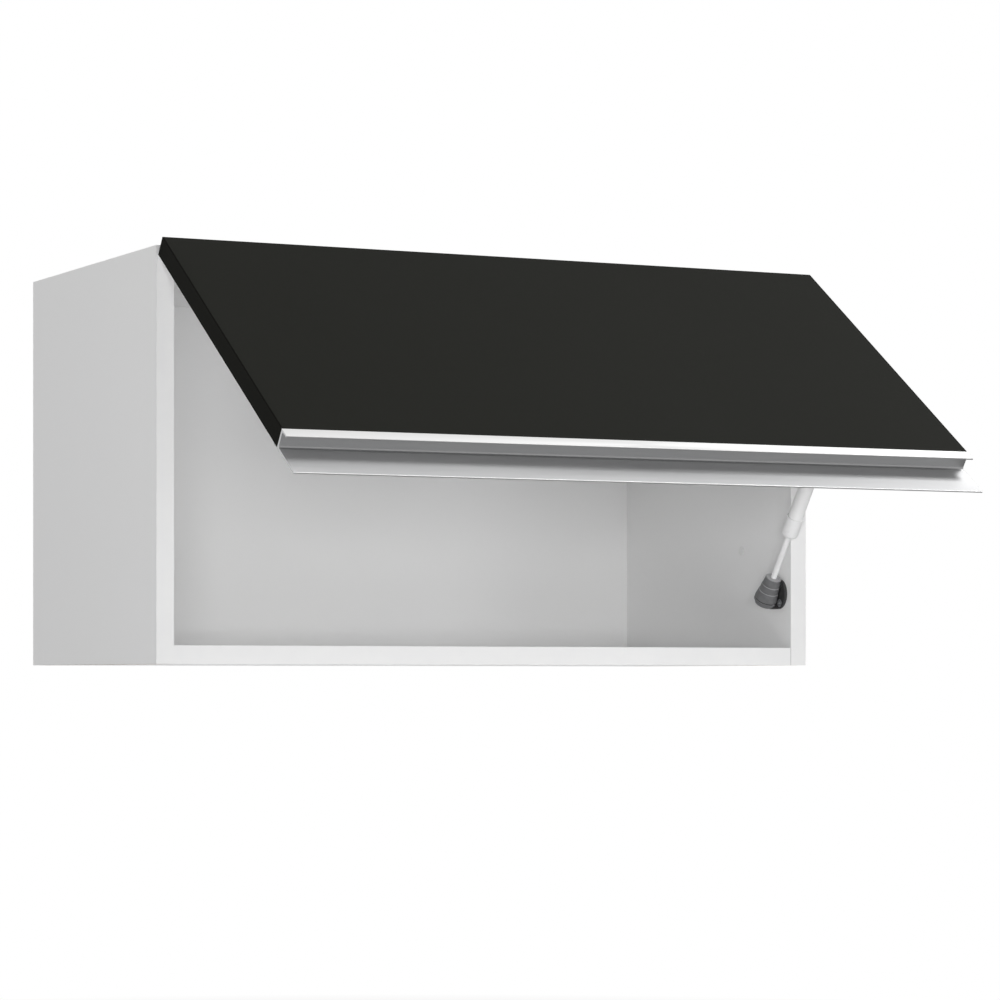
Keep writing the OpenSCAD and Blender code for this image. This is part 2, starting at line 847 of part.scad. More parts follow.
module hinge_cup_screws() {
    color(steel) swung_open() at_cup_screws() translate([0, 0, cup_flange_t])
        wood_screw(plate_screw_d, plate_screw_len + cup_flange_t, plate_head_d, cup_head_t);
}

// ---------------------------------------------------------------- door

// Groove along the bottom edge of the door that takes the profile's rib
module rib_groove() {
    translate([-door_x, (door_front_y + door_back_y - groove_w) / 2, door_bottom - cut])
        cube([2 * door_x, groove_w, groove_h + cut]);
}

// All door pieces are drawn with the door closed and then swung open
module door_panel() {
    color(door_black) swung_open() difference() {
        translate([-door_x + band_t, door_front_y, door_bottom])
            cube([2 * (door_x - band_t), door_t, door_top - band_t - door_bottom]);
        for (side = [-1, 1]) translate([side * hinge_x, door_back_y + cut, cup_z]) rotate([90, 0, 0])
            cylinder(d = cup_d, h = cup_depth + cut, $fn = 96);
        rib_groove();
        at_cup_screws() screw_hole(plate_screw_d, plate_screw_len);
        at_bracket_screws() screw_hole(base_screw_d, bracket_screw_len - bracket_t);
    }
}

module door_top_band() {
    color(edge_black) swung_open() translate([-door_x, door_front_y, door_top - band_t])
        cube([2 * door_x, door_t, band_t]);
}

module door_end_band() {
    translate([door_x - band_t, door_front_y, door_bottom])
        cube([band_t, door_t, door_top - band_t - door_bottom]);
}

module door_left_band() {
    color(edge_black) swung_open() mirror([1, 0, 0]) door_end_band();
}

module door_right_band() {
    color(edge_black) swung_open() door_end_band();
}

module fillet(r) {
    difference() {
        square([r, r]);
        translate([r, r]) circle(r = r);
    }
}

// Barbed rib, as [y, z], rooted in the web below z = 0
module rib_outline() {
    pitch = (rib_h - barb_first - barb_last) / barbs;
    near = rib_t / 2;
    teeth = [for (i = [0 : barbs - 1]) let (foot = barb_first + i * pitch)
        each [[near, foot], [near + barb_out, foot], [near, foot + barb_share * pitch]]];
    half = concat([[near, -handle_web / 2]], teeth, [[near / 2, rib_h]]);
    flip = [for (i = [len(half) - 1 : -1 : 0]) [-half[i][0], half[i][1]]];
    polygon(concat(half, flip));
}

// One leg of the handle, from its bevelled free edge up to the door's lower edge.
module handle_leg(len) {
    polygon([[leg_edge, 0], [handle_wall - leg_edge, 0], [handle_wall, leg_edge], [handle_wall, len],
             [0, len], [0, leg_edge]]);
}

// Section of the edge profile, as [y, z] with the door closed
module handle_outline() {
    lip_back = door_front_y + handle_wall;
    flange_front = door_back_y - handle_wall;
    web_low = door_bottom - handle_web;
    translate([door_front_y, web_low]) square([door_t, handle_web]);
    translate([door_front_y, door_bottom - lip_h]) handle_leg(lip_h);
    translate([flange_front, door_bottom - flange_h]) handle_leg(flange_h);
    translate([lip_back, web_low]) mirror([0, 1]) fillet(fillet_r);
    translate([flange_front, web_low]) rotate(180) fillet(fillet_r);
}

module handle_profile() {
    color(aluminium) swung_open() {
        across(-door_x, door_x) handle_outline();
        across(-door_x + rib_in, door_x - rib_in)
            translate([(door_front_y + door_back_y) / 2, door_bottom]) rib_outline();
    }
}

module door_bumpers() {
    color(clear_pad) swung_open() both_sides()
        translate([cabinet_w / 2 - board_t / 2, door_back_y, door_bottom + bumper_d])
            rotate([-90, 0, 0]) cylinder(d = bumper_d, h = bumper_t);
}

// ---------------------------------------------------------------- strut on the side

module at_base_screws() {
    for (y = [-base_screw_step / 2, base_screw_step / 2], z = [-base_screw_rise / 2, base_screw_rise / 2])
        translate([inner_x, low[0] + y, low[1] + z]) rotate([0, -90, 0]) children();
}

module strut_base_plate() {
    end_r = base_h / 2;
    color(dark_plastic) difference() {
        translate([inner_x - base_t, low[0], low[1]]) rotate([90, 0, 90]) linear_extrude(base_t) {
            square([base_len - base_h, base_h], center = true);
            for (y = [end_r - base_len / 2, base_len / 2 - end_r]) translate([y, 0]) circle(r = end_r);
        }
        at_base_screws() {
            translate([0, 0, -cut]) cylinder(d = base_screw_d + snug, h = base_t + 2 * cut);
            translate([0, 0, base_t - base_head_t])
                cylinder(d1 = base_screw_d + snug, d2 = base_head_d + snug, h = base_head_t);
        }
        translate([inner_x - base_t - cut, low[0], low[1]]) rotate([0, 90, 0])
            cylinder(r = stud_r, h = base_t + 2 * cut);
    }
}

// Ball and the round stem on it, which reaches along +x, as one revolved shape
module ball_on_stem(r, stem_r, reach) {
    rotate([0, 90, 0]) rotate_extrude($fn = 72) {
        intersection() {
            circle(r = r);
            translate([0, -r]) square([r, 2 * r]);
        }
        square([stem_r, reach]);
    }
}

// Ball on a short neck; reach is the distance from the ball to the foot of the neck
module ball_stud(reach) {
    ball_on_stem(ball_r, stud_r - snug / 2, reach);
}

module lower_ball_stud() {
    color(steel) translate([strut_x, low[0], low[1]]) ball_stud(strut_off);
}

module strut_base_screws() {
    color(steel) at_base_screws() translate([0, 0, base_t])
        flat_screw(base_screw_d, base_screw_len, base_head_d, base_head_t);
}

// ---------------------------------------------------------------- moving strut

module strut_rod() {
    color(steel) on_strut() translate([0, 0, rod_start])
        cylinder(d = rod_d, h = piston_start + piston_len - rod_start);
}

module strut_piston() {
    color(zinc) on_strut() translate([0, 0, piston_start]) difference() {
        cylinder(r = tube_in_r - apart, h = piston_len);
        translate([0, 0, -cut]) cylinder(d = rod_d + snug, h = piston_len + 2 * cut);
        translate([0, 0, (piston_len - ring_w) / 2]) difference() {
            cylinder(r = tube_in_r + cut, h = ring_w);
            translate([0, 0, -cut]) cylinder(r = tube_in_r - apart - ring_deep, h = ring_w + 2 * cut);
        }
    }
}

// Bell of a snap-on ball socket, as [radius, height above the ball]: a rounded foot, a
// rim for the clip, and a cone that steps in tier by tier
module bell_outline(r, top) {
    foot_r = r - socket_foot_in;
    slope = r * (1 - socket_neck) / (top - socket_rim_top);
    tiers = [for (share = socket_tiers) socket_rim_top + share * (top - socket_rim_top)];
    cone = [for (i = [0 : len(tiers) - 2]) let (
                low_r = r - slope * (tiers[i] - socket_rim_top) - (i == 0 ? 0 : socket_ledge),
                top_r = r - slope * (tiers[i + 1] - socket_rim_top))
            each [[low_r, tiers[i]], [top_r, tiers[i + 1] - socket_ledge]]];
    polygon(concat([[0, -socket_low], [foot_r - 2 * socket_round, -socket_low],
                    [foot_r - socket_round / 2, -socket_low + socket_round / 2],
                    [foot_r, -socket_low + 2 * socket_round],
                    [foot_r, socket_rim_low - socket_ledge], [r, socket_rim_low]],
                   cone, [[r * socket_neck - socket_ledge, top], [0, top]]));
}

// Cavity for the ball with its narrower mouth towards +x
module ball_cavity(reach) {
    ball_on_stem(cavity_r, ball_r - snap, reach);
}

// Snap-on socket with its ball cavity open towards +x
module ball_socket(r, top) {
    difference() {
        rotate_extrude($fn = 72) bell_outline(r, top);
        // flat face that looks at the plate, and the mouth for the ball
        translate([socket_face, -2 * r, -2 * r]) cube(4 * r);
        ball_cavity(2 * r);
        // spring slots that part the claws
        for (s = [0, 1]) mirror([0, s, 0]) translate([0, r - claw_t - slot_w, -socket_low - cut])
            cube([2 * r, slot_w, socket_low - slot_end + cut]);
        // groove for the retaining clip
        translate([0, 0, clip_z - clip_r]) difference() {
            cylinder(r = r + cut, h = 2 * clip_r);
            translate([0, 0, -cut]) cylinder(r = r - 2 * clip_r, h = 2 * clip_r + 2 * cut);
        }
    }
}

// Wire clip round the back of the socket
module socket_clip(r) {
    rotate([0, 0, clip_from]) rotate_extrude(angle = clip_turn, $fn = 72)
        translate([r - clip_r, clip_z]) circle(r = clip_r - snug / 2);
}

module lower_socket() {
    color(dark_plastic) on_strut() difference() {
        ball_socket(socket_r, socket_top);
        translate([0, 0, rod_start]) cylinder(d = rod_d + snug, h = socket_top);
    }
}

module lower_socket_clip() {
    color(steel) on_strut() socket_clip(socket_r);
}

module strut_tube() {
    color(white_plastic) on_strut() translate([0, 0, tube_start]) difference() {
        cylinder(r = tube_r, h = tube_end - tube_start);
        translate([0, 0, -cut]) cylinder(r = tube_in_r, h = tube_end - tube_start + 2 * cut);
    }
}

// Sleeve over the lower end of the tube, round at its foot and narrower at its top
module strut_sleeve() {
    sleeve_r = sleeve_d / 2;
    color(white_plastic) on_strut() translate([0, 0, sleeve_start]) rotate_extrude($fn = 72) difference() {
        union() {
            polygon([[0, sleeve_round], [sleeve_r, sleeve_round],
                     [sleeve_top_d / 2, sleeve_len - sleeve_edge],
                     [sleeve_top_d / 2 - sleeve_edge, sleeve_len], [0, sleeve_len]]);
            square([sleeve_r - sleeve_round, sleeve_round]);
            translate([sleeve_r - sleeve_round, sleeve_round]) intersection() {
                circle(r = sleeve_round);
                translate([0, -sleeve_round]) square([sleeve_round, sleeve_round]);
            }
        }
        translate([-cut, tube_start - sleeve_start]) square([tube_r + cut, sleeve_len]);
        translate([-cut, -cut]) square([rod_d / 2 + apart + cut, sleeve_len]);
    }
}

module rod_guide() {
    color(dark_plastic) on_strut() translate([0, 0, guide_start]) difference() {
        cylinder(r = tube_in_r - snug / 2, h = guide_len);
        translate([0, 0, -cut]) cylinder(r = rod_d / 2 + running, h = guide_len + 2 * cut);
    }
}

module rod_seal() {
    color(rubber_black) on_strut() translate([0, 0, guide_start + guide_len]) difference() {
        cylinder(r = tube_in_r - snug / 2, h = seal_len);
        translate([0, 0, -cut]) cylinder(r = rod_d / 2 + running, h = seal_len + 2 * cut);
        translate([0, 0, seal_len - seal_lip]) cylinder(r = rod_d / 2 + seal_lip_w, h = seal_len);
    }
}

// Plug crimped into the upper end of the tube, with the stud for the socket
module tube_end_plug() {
    color(zinc) on_strut() translate([0, 0, tube_end - end_plug_len]) {
        cylinder(r = tube_in_r - snug / 2, h = end_plug_len);
        cylinder(r = thread_r, h = end_plug_len + thread_len);
        translate([0, 0, end_plug_len]) cylinder(r = tube_r - tube_wall / 2, h = end_flange_t);
    }
}

module upper_socket() {
    gap_top = upper_socket_len - end_flange_t;
    color(dark_plastic) on_strut() translate([0, 0, len_open]) difference() {
        mirror([0, 0, 1]) mirror([1, 0, 0]) ball_socket(upper_socket_r, gap_top);
        translate([0, 0, -gap_top - cut]) cylinder(r = thread_r + snug / 2, h = cut + thread_len);
    }
}

module upper_socket_clip() {
    color(steel) on_strut() translate([0, 0, len_open]) mirror([0, 0, 1]) mirror([1, 0, 0])
        socket_clip(upper_socket_r);
}

module upper_ball_stud() {
    color(steel) on_strut() translate([0, 0, len_open]) mirror([1, 0, 0])
        ball_stud(strut_off - apart);
}

// ---------------------------------------------------------------- strut on the door

module at_bracket_screws() {
    for (z = [-bracket_screw_step / 2, bracket_screw_step / 2])
        translate([ear_x - bracket_t - bracket_foot_w / 2, door_back_y, up_closed[1] + z])
            rotate([-90, 0, 0]) children();
}

module strut_door_bracket() {
    color(steel) swung_open() difference() {
        union() {
            translate([ear_x - bracket_t - bracket_foot_w, door_back_y, up_closed[1] - bracket_foot_h / 2])
                cube([bracket_foot_w + bracket_t, bracket_t, bracket_foot_h]);
            across(ear_x - bracket_t, ear_x) {
                polygon([[door_back_y, up_closed[1] - bracket_foot_h / 2],
                         [up_closed[0], up_closed[1] - ear_r], [up_closed[0], up_closed[1] + ear_r],
                         [door_back_y, up_closed[1] + bracket_foot_h / 2]]);
                translate(up_closed) circle(r = ear_r);
            }
        }
        at_bracket_screws() translate([0, 0, -cut])
            cylinder(d = base_screw_d + snug, h = bracket_t + 2 * cut);
        translate([ear_x - bracket_t - cut, up_closed[0], up_closed[1]]) rotate([0, 90, 0])
            cylinder(r = stud_r, h = bracket_t + 2 * cut);
    }
}

// Riveted foot of the upper ball stud, flush with the ear on the ball's side
module bracket_rivet() {
    color(steel) swung_open() translate([ear_x, up_closed[0], up_closed[1]]) rotate([0, -90, 0]) {
        cylinder(r = stud_r - snug / 2, h = bracket_t);
        translate([0, 0, bracket_t]) cylinder(r = stud_r + rivet_over, h = rivet_t);
    }
}

module bracket_screws() {
    color(steel) swung_open() at_bracket_screws() translate([0, 0, bracket_t])
        wood_screw(base_screw_d, bracket_screw_len, base_head_d, base_head_t);
}

// ---------------------------------------------------------------- nodes

left_side();
right_side();
top_panel();
bottom_panel();
back_panel();
left_side_band();
right_side_band();
top_panel_band();
bottom_panel_band();
dowels();
cam_bolts();
cam_housings();
back_nails();
hole_plugs();
left_hanger_body();
right_hanger_body();
left_hanger_hook();
right_hanger_hook();
hanger_screws();
left_hinge_plate();
right_hinge_plate();
left_hinge_arm();
right_hinge_arm();
hinge_plate_screws();
hinge_arm_screws();
strut_base_plate();
lower_ball_stud();
strut_base_screws();
door_panel();
door_top_band();
door_left_band();
door_right_band();
handle_profile();
left_hinge_cup();
right_hinge_cup();
hinge_pins();
hinge_cup_screws();
strut_door_bracket();
bracket_rivet();
bracket_screws();
door_bumpers();
strut_rod();
strut_piston();
lower_socket();
lower_socket_clip();
strut_tube();
strut_sleeve();
rod_guide();
rod_seal();
tube_end_plug();
upper_socket();
upper_socket_clip();
upper_ball_stud();
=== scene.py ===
"""Looks of the lift-up wall cabinet: materials, floor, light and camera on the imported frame.

Lengths are in metres, in the part's frame with the door open: X right, Y into the wall, Z up.
"""
import bpy
import json
import math
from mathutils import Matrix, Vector


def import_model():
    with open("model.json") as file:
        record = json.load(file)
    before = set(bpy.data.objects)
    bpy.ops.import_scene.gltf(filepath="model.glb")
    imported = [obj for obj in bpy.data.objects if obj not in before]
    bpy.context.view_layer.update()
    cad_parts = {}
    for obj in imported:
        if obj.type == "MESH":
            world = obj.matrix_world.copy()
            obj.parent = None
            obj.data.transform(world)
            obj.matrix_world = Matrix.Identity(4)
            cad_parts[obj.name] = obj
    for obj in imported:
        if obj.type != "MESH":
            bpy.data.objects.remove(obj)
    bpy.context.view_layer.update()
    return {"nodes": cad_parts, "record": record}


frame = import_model()
nodes = frame["nodes"]

# ------------------------------------------------------------------ measures of the part

CARCASS_HALF_Z = 0.166
SIDE_MIDDLE_X = 0.2925      # middle of a side's thickness
SIDE_CORE_HALF = 0.0072     # half of that thickness without its white skins
SIDE_END_Z = 0.1655         # a little inside the sides' sawn upper and lower ends
BAND_JOINT_X = 0.285        # where the right side's band meets those of the panels
BAND_JOINT_HALF = 0.0003
PANEL_FACE_Z = 0.151        # inner faces of the top and bottom panels
DOOR_FACE = 0.3165          # a little inside the door's front, measured along OUT_OF_DOOR
HANDLE_END = 0.4874         # a little short of the handle's free edge, along DOWN_THE_DOOR

# Directions in the YZ plane, as (y, z)
OUT_OF_DOOR = (-0.568, 0.823)
INTO_CABINET = (0.568, -0.823)
DOWN_THE_DOOR = (-0.823, -0.568)
HANDLE_CORNER = (-0.983, 0.180)     # out of the round between the handle's web and flange, where the handle's painted shade lies
# Direction of the socket ledges that get a painted highlight
UP_THE_ROD = (-0.584, 0.812)

FACING = 0.9                # cosine from which a face counts as facing a direction
FRONT_FACING_Y = -0.5       # faces with a lower Y normal look out of the cabinet's front

# Darker and paler tone of the boards' white
OFF_WHITE = ((0.862, 0.862, 0.864), (0.878, 0.878, 0.876))
CLOUD_SPAN = (0.35, 0.65)   # range of a noise that leads from one of them to the other
NOISE_SPAN = (0.3, 0.7)     # range that holds nearly all values of a noise


# ------------------------------------------------------------------ node helpers

def rgba(colour):
    return (*colour, 1.0)


class Tree:
    """A short way to write a shader tree."""

    def __init__(self, tree):
        self.tree = tree
        tree.nodes.clear()

    def add(self, kind, settings=None, **inputs):
        """A new node; i0, i1 and so on are its inputs by number, other words are input names."""
        node = self.tree.nodes.new(kind)
        for key, value in (settings or {}).items():
            setattr(node, key, value)
        for key, value in inputs.items():
            socket = int(key[1:]) if key[0] == "i" else key
            self.put(node.inputs[socket], value)
        return node

    def put(self, socket, value):
        """Set a socket, or link it to another socket or to a node's first output."""
        if isinstance(value, bpy.types.NodeSocket):
            self.tree.links.new(value, socket)
        elif isinstance(value, bpy.types.Node):
            self.tree.links.new(value.outputs[0], socket)
        else:
            socket.default_value = value

    def math(self, operation, a, b=0.0):
        return self.add("ShaderNodeMath", {"operation": operation}, i0=a, i1=b)

    def absolute(self, value):
        return self.math("ABSOLUTE", value)

    def shares(self, a, of_a, b, of_b):
        """a times of_a plus b times of_b."""
        return self.math("ADD", self.math("MULTIPLY", a, of_a), self.math("MULTIPLY", b, of_b))

    def split(self, vector):
        return self.add("ShaderNodeSeparateXYZ", None, i0=vector)

    def along(self, xyz, direction):
        """How far a split vector reaches along a direction in the YZ plane."""
        return self.shares(xyz.outputs[1], direction[0], xyz.outputs[2], direction[1])

    def scaled(self, vector, x, y, z):
        return self.add("ShaderNodeMapping", None, Vector=vector, Scale=(x, y, z))

    def noise(self, vector, scale, detail=3.0, rough=0.5):
        return self.add("ShaderNodeTexNoise", None, Vector=vector, Scale=scale, Detail=detail,
                        Roughness=rough)

    def cells(self, vector, scale):
        return self.add("ShaderNodeTexVoronoi", None, Vector=vector, Scale=scale).outputs["Distance"]

    def stripes(self, vector, axis, scale):
        return self.add("ShaderNodeTexWave", {"wave_type": "BANDS", "bands_direction": axis},
                        Vector=vector, Scale=scale)

    def ramp(self, fac, stops):
        node = self.add("ShaderNodeValToRGB", None, Fac=fac)
        while len(node.color_ramp.elements) < len(stops):
            node.color_ramp.elements.new(0.5)
        for element, (place, colour) in zip(node.color_ramp.elements, stops):
            element.position = place
            element.color = rgba(colour)
        return node.outputs[0]

    def mix(self, fac, a, b):
        """Colour a where fac is 0, colour b where it is 1."""
        # The node's colours are its inputs 6 and 7 and its output 2
        node = self.add("ShaderNodeMix", {"data_type": "RGBA"}, i0=fac)
        for number, colour in ((6, a), (7, b)):
            self.put(node.inputs[number], rgba(colour) if isinstance(colour, tuple) else colour)
        return node.outputs[2]

    def between(self, value, low, high, out_low=0.0, out_high=1.0):
        """The range low to high of a value, stretched to out_low to out_high and cut off there."""
        return self.add("ShaderNodeMapRange", None, i0=value, i1=low, i2=high, i3=out_low, i4=out_high)

    def spread(self, noise, out_low, out_high):
        """A noise's usual range, stretched to out_low to out_high."""
        return self.between(noise, *NOISE_SPAN, out_low, out_high)

    def tint(self, value, first, second, span=NOISE_SPAN):
        """From the first colour at the low end of the span to the second at its high end."""
        return self.mix(self.between(value, *span), first, second)


def material(name, base, rough, metallic=0.0, settings=None):
    """A material with its plain Principled shader; the caller adds the texture."""
    mat = bpy.data.materials.new(name)
    mat.use_nodes = True
    t = Tree(mat.node_tree)
    out = t.add("ShaderNodeOutputMaterial")
    shader = t.add("ShaderNodeBsdfPrincipled")
    t.put(out.inputs[0], shader)
    plain = {"Base Color": rgba(base), "Roughness": rough, "Metallic": metallic}
    for key, value in {**plain, **(settings or {})}.items():
        shader.inputs[key].default_value = value
    place = t.add("ShaderNodeTexCoord").outputs["Object"]
    return mat, t, shader, place


def skin(t, shader, colour, rough=None):
    """Texture the shader's colour, and its roughness where one is given."""
    t.put(shader.inputs["Base Color"], colour)
    if rough is not None:
        t.put(shader.inputs["Roughness"], rough)


def bump(t, shader, height, strength, distance, edge=None):
    """Relief as deep as distance, and edges that catch the light as if rounded by the radius edge."""
    node = t.add("ShaderNodeBump", None, Strength=strength, Distance=distance, Height=height)
    if edge is not None:
        t.put(node.inputs["Normal"], t.add("ShaderNodeBevel", {"samples": 6}, Radius=edge))
    t.put(shader.inputs["Normal"], node)


def object_normal(t):
    """The surface's direction in the object's own axes, split into X, Y and Z."""
    node = t.add("ShaderNodeVectorTransform", {"vector_type": "NORMAL", "convert_from": "WORLD",
                                               "convert_to": "OBJECT"})
    t.put(node.inputs[0], t.add("ShaderNodeNewGeometry").outputs["True Normal"])
    return t.split(node)


def chipboard(t, place):
    """Raw sawn chipboard: pale chips in a brown glue line; gives colour and height."""
    chips = t.cells(t.scaled(place, 1.0, 0.55, 1.0), 620.0)
    fine = t.noise(place, 1500.0, 4.0, 0.7)
    tone = t.shares(chips, 0.6, fine, 0.6)
    colour = t.ramp(tone, [(0.22, (0.13, 0.075, 0.036)), (0.42, (0.34, 0.22, 0.12)),
                           (0.60, (0.50, 0.36, 0.21)), (0.85, (0.62, 0.47, 0.29))])
    return colour, tone


# ------------------------------------------------------------------ materials

def white_board():
    """White melamine on chipboard: fine pearl texture, raw chipboard on the sawn ends of the sides."""
    mat, t, s, place = material("white_melamine", (0.87, 0.87, 0.87), 0.42)
    cloud = t.noise(place, 5.0, 2.0)
    speck = t.noise(place, 1900.0, 2.0)
    pearl = t.noise(place, 1100.0, 3.0, 0.6)
    raw, chips = chipboard(t, place)
    xyz = t.split(place)
    from_middle = t.absolute(t.math("SUBTRACT", t.absolute(xyz.outputs[0]), SIDE_MIDDLE_X))
    level = t.math("GREATER_THAN", t.absolute(object_normal(t).outputs[2]), FACING)
    core = t.math("MULTIPLY", t.math("LESS_THAN", from_middle, SIDE_CORE_HALF), level)
    core = t.math("MULTIPLY", core, t.math("GREATER_THAN", t.absolute(xyz.outputs[2]), SIDE_END_Z))
    white = t.tint(cloud, *OFF_WHITE, CLOUD_SPAN)
    white = t.mix(t.between(speck, 0.55, 0.75, 0.0, 0.10), white, (0.78, 0.78, 0.78))
    skin(t, s, t.mix(core, white, raw),
         t.math("ADD", t.spread(cloud, 0.40, 0.46), t.math("MULTIPLY", core, 0.4)))
    bump(t, s, t.shares(pearl, 0.5, core, chips), 0.10, 0.0002, 0.0004)
    return mat


def white_edge():
    """ABS edge band: smoother than the board, a faint wave along it, a fine seam at the right joint."""
    mat, t, s, place = material("white_edge_band", (0.815, 0.815, 0.815), 0.36)
    wave = t.noise(place, 60.0, 2.0)
    xyz = t.split(place)
    off_joint = t.absolute(t.math("SUBTRACT", xyz.outputs[0], BAND_JOINT_X))
    seam = t.math("MULTIPLY", t.math("LESS_THAN", off_joint, BAND_JOINT_HALF),
                  t.math("GREATER_THAN", t.absolute(xyz.outputs[2]), PANEL_FACE_Z))
    white = t.tint(wave, (0.807, 0.807, 0.809), (0.823, 0.823, 0.821))
    skin(t, s, t.mix(seam, white, (0.45, 0.45, 0.45)),
         t.spread(t.noise(place, 240.0, 2.0), 0.33, 0.40))
    bump(t, s, t.shares(wave, 0.6, t.noise(place, 900.0), 0.3), 0.10, 0.0002, 0.0003)
    return mat


def white_back():
    """Thin fibreboard: white lacquer inside, brown felted fibres with a screen mark towards the wall."""
    mat, t, s, place = material("white_hardboard", (0.87, 0.87, 0.87), 0.48)
    cloud = t.noise(place, 4.0, 2.0)
    fibres = t.noise(t.scaled(place, 1.0, 1.0, 0.35), 900.0, 5.0, 0.7)
    blotch = t.noise(place, 35.0, 3.0)
    brown = t.ramp(t.shares(fibres, 0.7, blotch, 0.3),
                   [(0.30, (0.13, 0.072, 0.036)), (0.50, (0.21, 0.125, 0.066)),
                    (0.70, (0.30, 0.19, 0.105))])
    raw = t.math("GREATER_THAN", object_normal(t).outputs[1], FRONT_FACING_Y)
    skin(t, s, t.mix(raw, t.tint(cloud, *OFF_WHITE, CLOUD_SPAN), brown),
         t.math("ADD", t.math("MULTIPLY", raw, 0.32), 0.46))
    screen = t.math("MULTIPLY", t.stripes(place, "X", 180.0), t.stripes(place, "Z", 180.0))
    bump(t, s, t.shares(screen, raw, t.noise(place, 700.0, 3.0), 0.4), 0.15, 0.0002)
    return mat


def black_board():
    """Matt black melamine with a very fine grain outside, the carcass's white inside."""
    mat, t, s, place = material("black_melamine", (0.0150, 0.0155, 0.0124), 0.55, 0.0,
                                {"Specular IOR Level": 0.03})
    grain = t.noise(place, 1500.0, 3.0, 0.6)
    cloud = t.noise(place, 7.0, 3.0)
    dark = t.tint(cloud, (0.0143, 0.0148, 0.0117), (0.0157, 0.0162, 0.0131))
    dark = t.mix(t.between(grain, 0.52, 0.72, 0.0, 0.25), dark, (0.022, 0.0225, 0.0190))
    inside = t.math("GREATER_THAN", t.along(object_normal(t), INTO_CABINET), FACING)
    skin(t, s, t.mix(inside, dark, t.tint(cloud, *OFF_WHITE, CLOUD_SPAN)),
         t.spread(grain, 0.50, 0.60))
    bump(t, s, grain, 0.12, 0.0002, 0.0005)
    return mat


def black_edge():
    """Matt black edge band with the faint scraper marks that run along it."""
    mat, t, s, place = material("black_edge_band", (0.0075, 0.0076, 0.0062), 0.46, 0.0,
                                {"Specular IOR Level": 0.005})
    marks = t.noise(t.scaled(place, 4.0, 1.0, 1.0), 420.0, 3.0, 0.6)
    skin(t, s, t.tint(marks, (0.0066, 0.0068, 0.0055), (0.0095, 0.0096, 0.0080), (0.35, 0.7)),
         t.spread(marks, 0.40, 0.50))
    bump(t, s, marks, 0.08, 0.0002, 0.0006)
    return mat


def aluminium():
    """Satin anodised extrusion: die lines along X, painted shade in the round between web and flange,
    painted highlights on the lip and the free edge.
    """
    mat, t, s, place = material("anodised_aluminium", (0.52, 0.523, 0.527), 0.46, 1.0,
                                {"Anisotropic": 0.2})
    lines = t.noise(t.scaled(place, 1.2, 900.0, 900.0), 1.0, 4.0, 0.65)
    etch = t.noise(place, 1700.0, 3.0, 0.6)
    smear = t.noise(t.scaled(place, 6.0, 40.0, 40.0), 1.0, 3.0)
    xyz = t.split(place)
    # Mask of the lip, which is given a paler colour: a painted highlight
    lip = t.math("GREATER_THAN", t.along(xyz, OUT_OF_DOOR), DOOR_FACE)
    # Mask of the free edge, which is given a paler colour: a painted highlight
    free_edge_highlight = t.math("GREATER_THAN", t.along(xyz, DOWN_THE_DOOR), HANDLE_END)
    metal = t.tint(smear, (0.505, 0.508, 0.513), (0.535, 0.537, 0.540))
    # Darker colour in the round between web and flange: painted shade
    corner_shade = t.along(object_normal(t), HANDLE_CORNER)
    metal = t.tint(corner_shade, metal, (0.370, 0.372, 0.375), (0.78, 0.93))
    # Painted highlight on the lip
    metal = t.mix(lip, metal, (0.640, 0.640, 0.636))
    # Painted highlight on the free edge
    skin(t, s, t.mix(free_edge_highlight, metal, (0.90, 0.90, 0.90)),
         t.spread(t.shares(lines, 0.6, smear, 0.4), 0.42, 0.50))
    bump(t, s, t.shares(lines, 0.7, etch, 0.3), 0.06, 0.0001, 0.0003)
    return mat


def steel():
    """Bright zinc-plated steel with a faint brushed grain and a few cloudy spots."""
    mat, t, s, place = material("zinc_plated_steel", (0.66, 0.67, 0.69), 0.30, 1.0)
    grain = t.noise(t.scaled(place, 1.0, 8.0, 1.0), 500.0, 3.0, 0.6)
    cloud = t.noise(place, 160.0, 3.0)
    skin(t, s, t.tint(cloud, (0.62, 0.63, 0.65), (0.70, 0.71, 0.72), (0.35, 0.7)),
         t.spread(grain, 0.24, 0.38))
    bump(t, s, grain, 0.08, 0.0001, 0.0002)
    return mat


def zinc():
    """Die-cast zinc: dull grey skin with a sandy grain."""
    mat, t, s, place = material("diecast_zinc", (0.50, 0.51, 0.53), 0.46, 1.0)
    sand = t.noise(place, 1400.0, 4.0, 0.7)
    flow = t.noise(place, 140.0, 3.0)
    skin(t, s, t.tint(flow, (0.44, 0.45, 0.47), (0.56, 0.57, 0.59)),
         t.spread(flow, 0.42, 0.54))
    bump(t, s, sand, 0.25, 0.0002, 0.0003)
    return mat


def beech():
    """Beech dowels with straight grain and compressed flutes along X."""
    mat, t, s, place = material("beech", (0.60, 0.43, 0.26), 0.62)
    grain = t.noise(t.scaled(place, 60.0, 900.0, 900.0), 1.0, 4.0, 0.6)
    skin(t, s, t.ramp(grain, [(0.30, (0.42, 0.27, 0.15)), (0.55, (0.60, 0.43, 0.26)),
                              (0.80, (0.70, 0.53, 0.34))]))
    bump(t, s, grain, 0.3, 0.0004)
    return mat


def white_plastic():
    """White moulded plastic with a fine spark-eroded texture."""
    mat, t, s, place = material("white_plastic", (0.80, 0.80, 0.79), 0.42)
    spark = t.noise(place, 1600.0, 3.0, 0.65)
    tone = t.noise(place, 90.0, 2.0)
    skin(t, s, t.tint(tone, (0.785, 0.785, 0.775), (0.815, 0.815, 0.810)),
         t.spread(spark, 0.38, 0.48))
    bump(t, s, spark, 0.15, 0.0002, 0.0005)
    return mat


